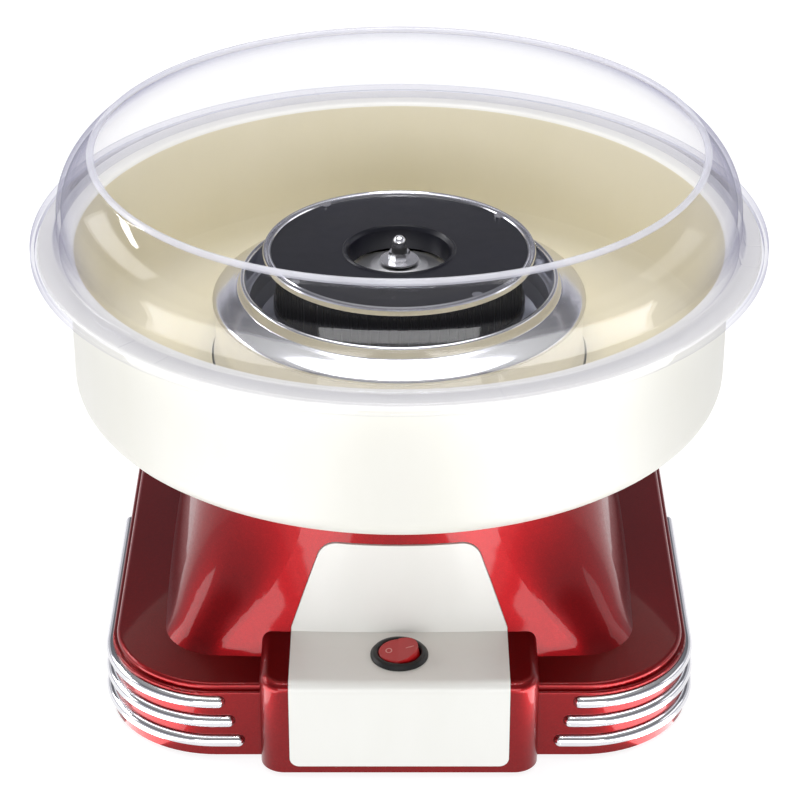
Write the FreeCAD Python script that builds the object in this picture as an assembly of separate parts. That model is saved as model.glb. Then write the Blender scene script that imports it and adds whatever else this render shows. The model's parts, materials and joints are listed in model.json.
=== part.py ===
"""Table-top cotton candy machine: one STEP file per separate piece.

Frame: millimetres, +Z up, the control pod faces -Y. The origin is on the floss head's axis,
at the plane that the rubber feet stand on.
"""
import FreeCAD
import Part
import math
import os
from FreeCAD import Vector as V

# ---- driving dimensions ------------------------------------------------------------------
WALL = 2.6                  # moulded wall of the red base
SKIRT_Z = 2.0               # lower edge of the base above the table
TIER_Z = 32.5               # top of the base's lower tier
LEDGE_Z = 35.4              # top of the base slab
SHOULDER_Z = 120.0          # where the bowl's hub stands on the column
TOWER_Z = 152.0             # top of the motor tower inside the bowl
BASE_HALF_BOTTOM = 122.8
BASE_HALF_TOP = 121.7
BASE_CORNER_R = 47.0
LEDGE_HALF = 119.9
LEDGE_CORNER_R = 44.5
LEDGE_EDGE_R = 1.8          # rounding along the slab's top edge
TIER_EDGE_R = 1.0

POD_HALF = 57.2
POD_FRONT_Y = -135.3
POD_TOP_Z = 45.3
POD_CORNER_R = 10.0
POD_EDGE_R = 4.0
PANEL_PROUD = 0.8
PANEL_SUNK = 0.8
PANEL_HALF = 45.0
PANEL_BOTTOM_Z = 5.7
PANEL_TOP_Z = 84.5
PANEL_TOP_HALF = 31.6
PANEL_CORNER_R = 9.0

SWITCH_Y = -114.4
SWITCH_BEZEL_R = 11.9
SWITCH_WELL_R = 8.95
SWITCH_BODY_R = 9.9
ROCKER_R = 8.3
ROCKER_PIVOT_Z = 46.6
ROCKER_REST_DEG = -11.0
ROCKER_PIN_R = 1.0

TRIM_HEIGHTS = (9.1, 18.7, 28.0)        # middle heights, bottom strip first
TRIM_FRONT_ENDS = (66.8, 70.6, 74.6)    # where each strip ends on the front face
TRIM_HALF_HEIGHT = 2.7
TRIM_PROUD = 2.7
TRIM_SUNK = 1.2
TRIM_REAR_END_Y = 19.0

BOWL_R = 139.4
BOWL_WALL = 2.4
BOWL_RIM_Z = 184.2
BOWL_BOTTOM_Z = 114.4
BOWL_FOOT_R = 12.0          # rounding between the bowl's side and its bottom
BOWL_HUB_R = 82.6
BOWL_HUB_Z = 128.0          # edge of the bowl's floor at the tower
BOWL_RIM_SPLIT_Z = 180.6    # the bowl's side carries its rim here
BOWL_SIDE_SPLIT_Z = 134.0   # and stands on its rounded foot here
BOWL_TROUGH_R = 117.0       # lowest circle of the trough, where the foot meets the slope
BOWL_SLOPE_R = 85.0         # outside of the hub tube

GUARD_RIM_R = 128.6
GUARD_RIM_Z = 225.8
GUARD_BULGE_R = 143.6
GUARD_BULGE_Z = 197.0
GUARD_BULGE_POWER = 2.5
GUARD_FLANGE_R = 155.2
GUARD_WALL = 2.0
GUARD_SPLIT_Z = 190.0       # the guard's wall stands on its flange here

COLLAR_RIM_R = 67.3
COLLAR_RIM_Z = 164.2
COLLAR_FLANGE_R = 79.9
COLLAR_FLANGE_Z = 156.3
COLLAR_SKIRT_R = 79.1
COLLAR_FOOT_R = 81.5
COLLAR_FOOT_Z = 123.0
SHEET = 0.9

HEAD_RIM_R = 58.0
HEAD_TOP_Z = 176.3
COVER_Z = 175.6
WELL_R = 22.6
BAND_R = 52.6
PAN_RIM_Z = 150.5
SHAFT_R = 3.0
RUNNING_GAP = 0.05
MOTOR_R = 26.0
MOTOR_TOP_Z = 115.0
MOTOR_BOTTOM_Z = 64.0
BRACKET_Z = 117.0
BRACKET_THICK = 2.0

# Column sections from foot to shoulder:
# height, half width, corner radius, half angle of the long side's arc
COLUMN_SECTIONS = (
    (34.4, 101.3, 23.5, 2.2),
    (40.0, 98.6, 26.0, 3.2),
    (48.0, 96.6, 32.0, 5.0),
    (58.0, 94.6, 40.0, 8.0),
    (72.0, 92.4, 52.0, 12.0),
    (92.0, 90.0, 67.0, 17.0),
    (SHOULDER_Z, 87.0, 87.0, 22.5),
)


# ---- helpers -----------------------------------------------------------------------------
def cylinder(radius, z_low, z_high, x=0.0, y=0.0):
    return Part.makeCylinder(radius, z_high - z_low, V(x, y, z_low))


def tube(r_out, r_in, z_low, z_high, x=0.0, y=0.0):
    return cylinder(r_out, z_low, z_high, x, y).cut(cylinder(r_in, z_low - 1, z_high + 1, x, y))


def box(x_low, x_high, y_low, y_high, z_low, z_high):
    return Part.makeBox(x_high - x_low, y_high - y_low, z_high - z_low, V(x_low, y_low, z_low))


def turned(profile, degrees=360.0):
    """Solid of revolution about Z from a closed outline of (radius, height) points."""
    points = [V(r, 0, z) for r, z in profile]
    face = Part.Face(Part.makePolygon(points + points[:1]))
    return face.revolve(V(0, 0, 0), V(0, 0, 1), degrees)


def turned_edges(edges):
    face = Part.Face(Part.Wire(edges))
    return face.revolve(V(0, 0, 0), V(0, 0, 1), 360)


def spun(shape, degrees, centre=V(0, 0, 0), axis=V(0, 0, 1)):
    copy = shape.copy()
    copy.rotate(centre, axis, degrees)
    return copy


def ring_of(shape, count, first=0.0):
    return [spun(shape, first + 360.0 * i / count) for i in range(count)]


def fuse(shapes):
    first, rest = shapes[0], shapes[1:]
    return first.multiFuse(rest).removeSplitter() if rest else first


def round_edges(shape, radius, wanted):
    """Fillet the edges whose bounding box passes the given test."""
    edges = [edge for edge in shape.Edges if wanted(edge.BoundBox)]
    return shape.makeFillet(radius, edges) if edges else shape


def rounded_square(half, corner_r, z):
    """Wire of four straight sides and four round corners."""
    inner = half - corner_r
    edges = []
    for quarter in range(4):
        turn = quarter * 90.0
        side = Part.LineSegment(V(half, -inner, z), V(half, inner, z)).toShape()
        corner = Part.Arc(
            V(half, inner, z),
            V(inner + corner_r * math.sqrt(0.5), inner + corner_r * math.sqrt(0.5), z),
            V(inner, half, z),
        ).toShape()
        edges += [spun(side, turn), spun(corner, turn)]
    return Part.Wire(edges)


def bowed_square(half, corner_r, side_deg, z):
    """Wire of four slightly bowed sides and four corners, all tangent; a circle when equal."""
    angle = math.radians(side_deg)
    ratio = math.cos(angle) - math.sin(angle)
    side_r = (half - corner_r * ratio) / (1.0 - ratio)
    centre = half - side_r
    end = V(centre + side_r * math.cos(angle), side_r * math.sin(angle), z)
    corner_c = V(centre + (side_r - corner_r) * math.cos(angle), 0, z)
    reach = corner_c.x + corner_r * math.sqrt(0.5)
    edges = []
    for quarter in range(4):
        turn = quarter * 90.0
        side = Part.Arc(V(end.x, -end.y, z), V(half, 0, z), end).toShape()
        corner = Part.Arc(end, V(reach, reach, z), V(end.y, end.x, z)).toShape()
        edges += [spun(side, turn), spun(corner, turn)]
    return Part.Wire(edges)


def slab(half_low, half_high, corner_r, z_low, z_high):
    low = rounded_square(half_low, corner_r, z_low)
    high = rounded_square(half_high, corner_r + half_high - half_low, z_high)
    return Part.makeLoft([low, high], True, True)


def column(offset=0.0, z_roof=None):
    """The flared column, its skin moved outwards by offset, cut level at z_roof."""
    wires = []
    for z, half, corner_r, side_deg in COLUMN_SECTIONS:
        wires.append(bowed_square(half + offset, corner_r + offset, side_deg, z))
    body = Part.makeLoft(wires, True, False)
    if z_roof is not None:
        body = between(body, COLUMN_SECTIONS[0][0], z_roof)
    return body


def pod_block(offset=0.0, z_low=SKIRT_Z):
    """The control pod's outer form, its skin moved outwards by offset."""
    half = POD_HALF + offset
    front = POD_FRONT_Y - offset
    block = box(-half, half, front, -80.0, z_low, POD_TOP_Z + offset)

    def upright_corner(bb):
        return bb.ZLength > 10 and bb.YMax < front + 0.1

    def top_edge(bb):
        return bb.ZMin > POD_TOP_Z + offset - 0.1 and bb.YMin < -90 and bb.YMax < -75

    block = round_edges(block, POD_CORNER_R + offset, upright_corner)
    return round_edges(block, POD_EDGE_R + offset, top_edge)


def strut(start, end, radius):
    """Round rod between two points."""
    direction = end.sub(start)
    return Part.makeCylinder(radius, direction.Length, start, direction)


def wire_run(points, radius):
    """Insulated wire through a list of points, with ball corners."""
    pieces = [strut(a, b, radius) for a, b in zip(points, points[1:])]
    pieces += [Part.makeSphere(radius, corner) for corner in points[1:-1]]
    return fuse(pieces)


def pan_screw(radius, head_r, head_h, z_seat, length, x, y):
    """Screw pointing up with its head below the seat plane."""
    head = cylinder(head_r, z_seat - head_h, z_seat, x, y)
    return fuse([head, cylinder(radius, z_seat, z_seat + length, x, y)])


def between(shape, z_low, z_high):
    """The part of a shape between two heights."""
    reach = 200.0
    return shape.common(box(-reach, reach, -reach, reach, z_low, z_high))


def save(name, shape):
    solids = shape.Solids
    assert solids and shape.isValid(), name
    Part.makeCompound(solids).exportStep("parts/%s.step" % name)
    print("%-18s %2d solid(s) %10.1f mm3" % (name, len(solids), sum(s.Volume for s in solids)))


# ---- chrome trim -------------------------------------------------------------------------
def wall_half(z):
    share = (z - SKIRT_Z) / (TIER_Z - SKIRT_Z)
    return BASE_HALF_BOTTOM + (BASE_HALF_TOP - BASE_HALF_BOTTOM) * share


def trim_section(half, z, proud, sunk, half_height):
    """Face of a trim strip's D-shaped section, standing on a wall at x = half."""
    low_in, low_out = V(half - sunk, 0, z - half_height), V(half, 0, z - half_height)
    top_in, top_out = V(half - sunk, 0, z + half_height), V(half, 0, z + half_height)
    return Part.Face(Part.Wire([
        Part.LineSegment(low_in, low_out).toShape(),
        Part.Arc(low_out, V(half + proud, 0, z), top_out).toShape(),
        Part.LineSegment(top_out, top_in).toShape(),
        Part.LineSegment(top_in, low_in).toShape(),
    ]))


def trim_cap(half, z, proud, sunk, half_height):
    """Round end of a strip: half the section turned about the wall's normal."""
    inner, edge = V(half - sunk, 0, z), V(half - sunk, 0, z + half_height)
    outer_edge = V(half, 0, z + half_height)
    crown_r = (half_height ** 2 + proud ** 2) / (2 * proud)
    mid_angle = 0.5 * math.asin(half_height / crown_r)
    centre_x = half + proud - crown_r
    middle = V(centre_x + crown_r * math.cos(mid_angle), 0, z + crown_r * math.sin(mid_angle))
    crest = V(half + proud, 0, z)
    outline = Part.Wire([
        Part.LineSegment(inner, edge).toShape(),
        Part.LineSegment(edge, outer_edge).toShape(),
        Part.Arc(outer_edge, middle, crest).toShape(),
        Part.LineSegment(crest, inner).toShape(),
    ])
    return Part.Face(outline).revolve(inner, V(1, 0, 0), 360)


def trim_strip(z, front_end, proud, sunk, half_height):
    """Strip round the right front corner: along +X side, the corner, then the front."""
    half = wall_half(z)
    inner = BASE_HALF_BOTTOM - BASE_CORNER_R
    section = trim_section(half, z, proud, sunk, half_height)
    side = section.copy()
    side.translate(V(0, -inner, 0))
    side_run = side.extrude(V(0, inner + TRIM_REAR_END_Y, 0))
    corner_centre = V(inner, -inner, 0)
    corner_run = side.revolve(corner_centre, V(0, 0, 1), -90)
    front = spun(side, -90, corner_centre)
    front_run = front.extrude(V(front_end - inner, 0, 0))
    rear_cap = trim_cap(half, z, proud, sunk, half_height)
    rear_cap.translate(V(0, TRIM_REAR_END_Y, 0))
    front_cap = spun(trim_cap(half, z, proud, sunk, half_height), -90)
    front_cap.translate(V(front_end, 0, 0))
    return fuse([side_run, corner_run, front_run, rear_cap, front_cap])


def mirrored(shape):
    return shape.mirror(V(0, 0, 0), V(1, 0, 0))


TRIM_NAMES = ("bottom", "middle", "top")


def trim_grooves():
    cuts = []
    for z, front_end in zip(TRIM_HEIGHTS, TRIM_FRONT_ENDS):
        seat = trim_strip(z, front_end, TRIM_PROUD + 0.3, TRIM_SUNK + 0.1, TRIM_HALF_HEIGHT + 0.15)
        cuts += [seat, mirrored(seat)]
    return cuts


# ---- base --------------------------------------------------------------------------------
SIDE_SCREW_SPOTS = [(110, 50), (110, -50), (-110, 50), (-110, -50)]
END_SCREW_SPOTS = [(66, 110), (-66, 110), (70, -110), (-70, -110)]
SCREW_SPOTS = SIDE_SCREW_SPOTS + END_SCREW_SPOTS
POST_RADIUS = 70.5
POST_ANGLES = (45, 135, 225, 315)
GLAND_Z = 18.0


def on_circle(radius, degrees):
    angle = math.radians(degrees)
    return radius * math.cos(angle), radius * math.sin(angle)


def panel_region(grow):
    """Front outline of the control panel, grown by a gap, as a deep prism along Y."""
    half, top = PANEL_HALF + grow, PANEL_TOP_Z + grow
    top_half = PANEL_TOP_HALF + grow
    knee_z = POD_TOP_Z + 2.0
    outline = [
        V(-half, 0, PANEL_BOTTOM_Z - grow), V(half, 0, PANEL_BOTTOM_Z - grow),
        V(half, 0, knee_z), V(top_half, 0, top), V(-top_half, 0, top), V(-half, 0, knee_z),
    ]
    plate = Part.Face(Part.makePolygon(outline + outline[:1])).extrude(V(0, 80, 0))
    plate.translate(V(0, -140, 0))

    def top_corner(bb):
        return bb.YLength > 70 and bb.ZMin > top - 0.1

    def bottom_corner(bb):
        return bb.YLength > 70 and bb.ZMax < PANEL_BOTTOM_Z + 0.1

    plate = round_edges(plate, PANEL_CORNER_R, top_corner)
    return round_edges(plate, 4.0, bottom_corner)


def front_form(offset):
    """Column and pod as one form, for the panel's skin and its seat."""
    front_half = column(offset).common(box(-70, 70, -130, -60, POD_TOP_Z - 8, 100))
    return front_half.fuse(pod_block(offset))


def base_shell():
    lower = slab(BASE_HALF_BOTTOM, BASE_HALF_TOP, BASE_CORNER_R, SKIRT_Z, TIER_Z)
    lower = round_edges(lower, TIER_EDGE_R, lambda bb: bb.ZMin > TIER_Z - 0.01)
    upper = slab(LEDGE_HALF, LEDGE_HALF, LEDGE_CORNER_R, TIER_Z - 1.0, LEDGE_Z)
    upper = round_edges(upper, LEDGE_EDGE_R, lambda bb: bb.ZMin > LEDGE_Z - 0.01)
    tower = cylinder(78.0, SHOULDER_Z - 1.0, TOWER_Z)
    collar_seat = cylinder(77.0, TOWER_Z - 1.0, COLLAR_FLANGE_Z - SHEET - 0.1)
    outer = fuse([lower, upper, column(), tower, collar_seat])

    inner_low = slab(BASE_HALF_BOTTOM - WALL, LEDGE_HALF - WALL, BASE_CORNER_R - WALL,
                     SKIRT_Z - 1, LEDGE_Z - WALL)
    inner_column = column(-WALL, z_roof=SHOULDER_Z - WALL)
    inner_tower = cylinder(75.4, SHOULDER_Z - WALL - 1, TOWER_Z - 2.5)
    foot = bowed_square(COLUMN_SECTIONS[0][1] - WALL, COLUMN_SECTIONS[0][2] - WALL, 2.2, 30.0)
    inner_foot = Part.Face(foot).extrude(V(0, 0, 4.5))
    reflector_hole = cylinder(65.9, TOWER_Z - 4, TOWER_Z + 1).fuse(cylinder(74.6, TOWER_Z, TOWER_Z + 9))
    shell = outer.cut([inner_low, inner_foot, inner_column, inner_tower, reflector_hole])

    bosses = [cylinder(4.5, 8.0, LEDGE_Z - WALL + 0.5, x, y) for x, y in SCREW_SPOTS]
    posts = [cylinder(5.2, BRACKET_Z + 3.0, TOWER_Z - 2.0, *on_circle(POST_RADIUS, a))
             for a in POST_ANGLES]
    shell = fuse([shell] + bosses + posts)

    pilots = [cylinder(1.8, 7.0, 24.0, x, y) for x, y in SCREW_SPOTS]
    pilots += [cylinder(1.8, BRACKET_Z, BRACKET_Z + 16, *on_circle(POST_RADIUS, a))
               for a in POST_ANGLES]
    pilots += [cylinder(1.4, TOWER_Z - 6, TOWER_Z + 1, *on_circle(69.5, a)) for a in (0, 90, 180, 270)]
    pod_window = box(-53, 53, -130, -101.5, SKIRT_Z - 1, LEDGE_Z + 1)
    gland_hole = Part.makeCylinder(6.2, 12, V(0, 115, GLAND_Z), V(0, 1, 0))
    seat_low = POD_TOP_Z - PANEL_SUNK - 0.3
    panel_seat = panel_region(0.25).common(box(-70, 70, -110, -60, seat_low, 100))
    panel_seat = panel_seat.cut(column(-PANEL_SUNK - 0.1))
    return shell.cut(pilots + [pod_window, gland_hole, panel_seat] + trim_grooves())


def control_pod():
    block = pod_block()
    hollow = box(-POD_HALF + WALL, POD_HALF - WALL, POD_FRONT_Y + WALL, -70, SKIRT_Z + WALL,
                 POD_TOP_Z - WALL)
    hollow = round_edges(hollow, 6.0, lambda bb: bb.ZLength > 10 and bb.YMax < POD_FRONT_Y + 4)
    fit_gap = 0.3
    base = slab(BASE_HALF_BOTTOM + fit_gap, BASE_HALF_TOP + fit_gap, BASE_CORNER_R, SKIRT_Z - 1, TIER_Z)
    side_keep = box(-51, 51, -130, -104.0, SKIRT_Z - 2, LEDGE_Z + 0.3)
    ledge = slab(LEDGE_HALF + fit_gap, LEDGE_HALF + fit_gap, LEDGE_CORNER_R, TIER_Z - 1, LEDGE_Z + 0.3)
    base_form = base.fuse(ledge).cut(side_keep)
    column_form = column(fit_gap)
    below = Part.Face(bowed_square(101.6, 23.8, 2.2, 0.0)).extrude(V(0, 0, 34.5))
    pod = block.cut([hollow, base_form, column_form, below])
    seat = panel_region(0.25).cut(pod_block(-PANEL_SUNK - 0.1, z_low=0.0))
    switch_hole = cylinder(SWITCH_BODY_R + 0.2, 30, 60, 0, SWITCH_Y)
    pod = pod.cut([seat, switch_hole])
    return max(pod.Solids, key=lambda s: s.Volume)


def control_panel():
    skin = front_form(PANEL_PROUD).cut(front_form(-PANEL_SUNK))
    plate = skin.common(panel_region(0.0))
    plate = plate.cut(cylinder(SWITCH_BODY_R + 0.2, 30, 60, 0, SWITCH_Y))
    return max(plate.Solids, key=lambda s: s.Volume)


PLATE_Z = (3.0, 5.5)
FOOT_SPOTS = [(92, 92), (-92, 92), (92, -92), (-92, -92)]


def bottom_plate():
    plate = slab(119.6, 119.6, 43.8, *PLATE_Z)
    plate = plate.cut(box(-54, 54, -125, -101.0, 0, 10))
    vents = []
    for row in range(-4, 5):
        for side in (-1, 1):
            vents.append(box(side * 32 - 20, side * 32 + 20, row * 9 - 1.8, row * 9 + 1.8, 0, 10))
    holes = [cylinder(3.2, 0, 10, x, y) for x, y in FOOT_SPOTS]
    holes += [cylinder(2.0, 0, 10, x, y) for x, y in SCREW_SPOTS]
    rims = [tube(4.5, 2.0, PLATE_Z[1] - 0.5, 8.0, x, y) for x, y in SCREW_SPOTS]
    return fuse([plate.cut(vents + holes)] + rims)


def rubber_feet():
    feet = []
    for x, y in FOOT_SPOTS:
        pad = Part.makeCone(8.0, 9.0, PLATE_Z[0], V(x, y, 0))
        cup = Part.makeCone(5.5, 3.0, 1.6, V(x, y, 0))
        stem = cylinder(3.0, PLATE_Z[0] - 0.5, PLATE_Z[1], x, y)
        button = cylinder(4.6, PLATE_Z[1], PLATE_Z[1] + 1.6, x, y)
        feet.append(fuse([pad, stem, button]).cut(cup))
    return Part.makeCompound(feet)


def bottom_screws():
    # The heads stay above the table because the plate is let in above the skirt.
    screws = [pan_screw(1.7, 3.2, 1.6, PLATE_Z[0], 18.0, x, y) for x, y in SCREW_SPOTS]
    return Part.makeCompound(screws)


def cord_gland():
    y_wall = BASE_HALF_BOTTOM + 0.05
    axis = V(0, 1, 0)
    sleeve = Part.makeCylinder(6.0, 10, V(0, y_wall - 8.6, GLAND_Z), axis)
    flange = Part.makeCylinder(8.5, 2.2, V(0, y_wall, GLAND_Z), axis)
    nut = Part.makeCylinder(8.5, 2.6, V(0, y_wall - 8.6, GLAND_Z), axis)
    nose = Part.makeCone(7.0, 5.2, 7.0, V(0, y_wall + 2.2, GLAND_Z), axis)
    bore = Part.makeCylinder(3.4, 40, V(0, y_wall - 20, GLAND_Z), axis)
    return fuse([sleeve, flange, nut, nose]).cut(bore)


# ---- switch ------------------------------------------------------------------------------
PANEL_TOP_FACE_Z = POD_TOP_Z + PANEL_PROUD
BEZEL_TOP_Z = PANEL_TOP_FACE_Z + 2.2


def at_switch(shape):
    shape.translate(V(0, SWITCH_Y, 0))
    return shape


def switch_body():
    bezel = turned([
        (SWITCH_WELL_R, PANEL_TOP_FACE_Z), (SWITCH_BEZEL_R, PANEL_TOP_FACE_Z),
        (SWITCH_BEZEL_R, PANEL_TOP_FACE_Z + 0.7), (SWITCH_BEZEL_R - 0.9, BEZEL_TOP_Z - 0.4),
        (SWITCH_BEZEL_R - 1.9, BEZEL_TOP_Z), (SWITCH_WELL_R + 0.5, BEZEL_TOP_Z),
        (SWITCH_WELL_R, BEZEL_TOP_Z - 0.5),
    ])
    barrel = cylinder(SWITCH_BODY_R, 26.0, PANEL_TOP_FACE_Z + 0.01)
    well = cylinder(SWITCH_WELL_R, 40.5, PANEL_TOP_FACE_Z + 5)
    pins = Part.makeCylinder(ROCKER_PIN_R + RUNNING_GAP, 20.4, V(0, -10.2, ROCKER_PIVOT_Z), V(0, 1, 0))
    slots = [box(x - 0.45, x + 0.45, -2.5, 2.5, 20, 32) for x in (-4.0, 4.0)]
    return at_switch(bezel.fuse(barrel).cut([well, pins] + slots))


def rocker():
    drum = cylinder(ROCKER_R, 44.0, 54.0)
    crown = math.tan(math.radians(7.0)) * ROCKER_R
    low, high = 48.6, 48.6 + crown
    blocker = Part.Face(Part.makePolygon([
        V(-ROCKER_R - 1, -12, high + 0.1), V(0, -12, low), V(ROCKER_R + 1, -12, high + 0.1),
        V(ROCKER_R + 1, -12, 60), V(-ROCKER_R - 1, -12, 60), V(-ROCKER_R - 1, -12, high + 0.1),
    ])).extrude(V(0, 24, 0))
    button = drum.cut(blocker)
    button = round_edges(button, 0.5, lambda bb: bb.ZMin > 48.0 and bb.YLength > 12)
    pin = Part.makeCylinder(ROCKER_PIN_R, 19.8, V(0, -9.9, ROCKER_PIVOT_Z), V(0, 1, 0))
    whole = button.fuse(pin)
    whole = spun(whole, ROCKER_REST_DEG, V(0, 0, ROCKER_PIVOT_Z), V(0, 1, 0))
    return at_switch(whole)


def switch_terminals():
    tabs = [box(x - 0.4, x + 0.4, -2.4, 2.4, 17.0, 31.5) for x in (-4.0, 4.0)]
    holes = [Part.makeCylinder(0.8, 6, V(x - 3, 0, 20.5), V(1, 0, 0)) for x in (-4.0, 4.0)]
    return Part.makeCompound([at_switch(tab.cut(hole)) for tab, hole in zip(tabs, holes)])


# ---- bowl and guard ----------------------------------------------------------------------
def line(a, b):
    return Part.LineSegment(V(a[0], 0, a[1]), V(b[0], 0, b[1])).toShape()


def arc(a, b, c):
    return Part.Arc(V(a[0], 0, a[1]), V(b[0], 0, b[1]), V(c[0], 0, c[1])).toShape()


def curve(points):
    spline = Part.BSplineCurve()
    spline.interpolate([V(r, 0, z) for r, z in points])
    return spline.toShape()


def chain(points):
    return [line(a, b) for a, b in zip(points, points[1:])]


def bowl():
    """Round dish: straight side, rounded foot and a floor that climbs a little to the tower."""
    r_in = BOWL_R - BOWL_WALL
    floor = [(r_in, BOWL_SIDE_SPLIT_Z), (134.2, 126.2), (127.4, 120.6), (BOWL_TROUGH_R, 118.6),
             (104.0, 120.8), (93.0, 125.4), (87.0, 127.6), (BOWL_HUB_R, BOWL_HUB_Z)]
    under = [(BOWL_SLOPE_R, 125.4), (91.6, 122.8), (102.4, 118.2), (110.0, 115.4), (117.0, BOWL_BOTTOM_Z)]
    inside = [line((r_in, 182.2), (r_in, BOWL_SIDE_SPLIT_Z)), curve(floor)]
    hub = chain([(BOWL_HUB_R, BOWL_HUB_Z), (BOWL_HUB_R, SHOULDER_Z), (BOWL_SLOPE_R, SHOULDER_Z),
                 (BOWL_SLOPE_R, 125.4)])
    centre = (BOWL_R - BOWL_FOOT_R, BOWL_BOTTOM_Z + BOWL_FOOT_R)
    reach = BOWL_FOOT_R * math.sqrt(0.5)
    below = [curve(under), line((117.0, BOWL_BOTTOM_Z), (centre[0], BOWL_BOTTOM_Z))]
    foot = arc((centre[0], BOWL_BOTTOM_Z), (centre[0] + reach, centre[1] - reach), (BOWL_R, centre[1]))
    rim = chain([(BOWL_R, centre[1]), (BOWL_R, 181.6), (151.8, 182.2), (152.4, 183.0), (151.8, BOWL_RIM_Z),
                 (r_in + 1.6, BOWL_RIM_Z), (r_in, 182.2)])
    return turned_edges(inside + hub + below + [foot] + rim)


def bowl_pieces(whole):
    """The dish as five rings, each of a simple section."""
    foot = between(whole, BOWL_BOTTOM_Z - 1.0, BOWL_SIDE_SPLIT_Z)
    middle = cylinder(BOWL_TROUGH_R, BOWL_BOTTOM_Z - 1.0, BOWL_RIM_Z)
    hub = cylinder(BOWL_SLOPE_R, BOWL_BOTTOM_Z - 1.0, BOWL_RIM_Z)
    return {
        "bowl_rim": between(whole, BOWL_RIM_SPLIT_Z, BOWL_RIM_Z + 1.0),
        "bowl_side": between(whole, BOWL_SIDE_SPLIT_Z, BOWL_RIM_SPLIT_Z).cut(middle),
        "bowl_foot": foot.cut(middle),
        "bowl_slope": whole.common(middle).cut(hub),
        "bowl_hub": whole.common(hub),
    }


def guard_radius(z):
    share = (z - GUARD_BULGE_Z) / (GUARD_RIM_Z - 2.0 - GUARD_BULGE_Z)
    return GUARD_BULGE_R - (GUARD_BULGE_R - GUARD_RIM_R) * share ** GUARD_BULGE_POWER


def splash_guard():
    steps = 7
    top = GUARD_RIM_Z - 2.0
    heights = [GUARD_BULGE_Z + (top - GUARD_BULGE_Z) * i / (steps - 1) for i in range(steps)]
    outer = [(guard_radius(z), z) for z in heights]
    inner = []
    for radius, z in outer:
        slope = (guard_radius(z + 0.1) - guard_radius(z)) / 0.1 if z < top - 0.2 else -1.19
        length = math.hypot(1.0, slope)
        inner.append((radius - GUARD_WALL / length, z + GUARD_WALL * slope / length))
    seat = BOWL_RIM_Z + 0.3
    flange_top = seat + 2.2
    outside = [
        curve(outer),
        arc(outer[-1], (outer[-1][0] - 0.6, top + 1.8), (inner[-1][0] + 0.2, inner[-1][1] + 1.0)),
        line((inner[-1][0] + 0.2, inner[-1][1] + 1.0), inner[-1]),
        curve(inner[::-1]),
    ]
    foot = [
        inner[0], (GUARD_BULGE_R - GUARD_WALL, 191.5), (143.0, flange_top - 0.8), (143.0, seat),
        (GUARD_FLANGE_R - 1.7, seat), (GUARD_FLANGE_R - 1.9, 181.2), (GUARD_FLANGE_R - 0.3, 181.2),
        (GUARD_FLANGE_R, 182.0), (GUARD_FLANGE_R, flange_top - 1.6),
        (GUARD_FLANGE_R - 0.5, flange_top - 0.5), (GUARD_FLANGE_R - 1.6, flange_top),
        (146.2, flange_top), (145.0, flange_top + 1.1), (GUARD_BULGE_R + 0.2, 192.0), outer[0],
    ]
    guard = turned_edges(outside + chain(foot))
    score = box(146.5, GUARD_FLANGE_R - 1.0, -0.18, 0.18, flange_top - 0.35, flange_top + 1)
    scores = ring_of(score, 6, -7.5) + ring_of(score, 6, -15.0)
    return guard.cut(scores)


# ---- collar and heater -------------------------------------------------------------------
def collar():
    """Pressed sheet hat: inner sleeve, rolled rim, concave flare, shoulder and a long skirt."""
    flare_out = [(COLLAR_RIM_R + 0.9, 162.6), (69.6, 159.6), (72.6, 157.4), (77.6, COLLAR_FLANGE_Z)]
    flare_in = [(77.4, COLLAR_FLANGE_Z - SHEET), (72.2, 156.5), (68.8, 159.0), (67.2, 161.6)]
    r_sleeve = COLLAR_RIM_R - 1.6
    skirt_r = COLLAR_SKIRT_R
    foot_r = COLLAR_FOOT_R
    roll = [
        arc((r_sleeve, 162.6), (COLLAR_RIM_R - 0.2, COLLAR_RIM_Z), (COLLAR_RIM_R + 0.9, 162.6)),
        curve(flare_out),
        arc((77.6, COLLAR_FLANGE_Z), (79.2, COLLAR_FLANGE_Z - 0.8), (COLLAR_FLANGE_R, COLLAR_FLANGE_Z - 2.2)),
        arc((COLLAR_FLANGE_R, COLLAR_FLANGE_Z - 2.2), (COLLAR_FLANGE_R - 0.2, 153.2), (skirt_r, 152.6)),
    ]
    skirt = chain([(skirt_r, 152.6), (skirt_r, 134.0), (foot_r, COLLAR_FOOT_Z),
                   (foot_r - SHEET, COLLAR_FOOT_Z), (skirt_r - SHEET, 134.2), (skirt_r - SHEET, 153.4),
                   (77.4, COLLAR_FLANGE_Z - SHEET)])
    under = [curve(flare_in)] + chain([(67.2, 161.6), (r_sleeve + SHEET, 161.0),
                                       (r_sleeve + SHEET, 153.2), (r_sleeve, 153.2), (r_sleeve, 162.6)])
    return turned_edges(roll + skirt + under)


ELEMENT_R = 40.0
ELEMENT_TUBE_R = 3.3
ELEMENT_Z = 144.6
REFLECTOR_FLOOR_Z = 137.6


def heat_reflector():
    floor = REFLECTOR_FLOOR_Z
    dish = turned([
        (9.0, floor), (56.0, floor), (61.5, floor + 2.4), (64.4, floor + 8.0), (65.0, TOWER_Z),
        (72.0, TOWER_Z), (72.0, TOWER_Z + 0.8), (64.2, TOWER_Z + 0.8), (63.6, floor + 8.4),
        (60.9, floor + 3.2), (55.7, floor + 0.8), (9.0, floor + 0.8),
    ])
    holes = [cylinder(1.6, TOWER_Z - 2, TOWER_Z + 2, *on_circle(69.5, a)) for a in (0, 90, 180, 270)]
    holes += [cylinder(4.4, floor - 2, floor + 2, *on_circle(ELEMENT_R, a)) for a in (-12, 12)]
    holes += [cylinder(1.6, floor - 2, floor + 2, *on_circle(ELEMENT_R, a)) for a in (90, 180, 270)]
    return dish.cut(holes)


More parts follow.
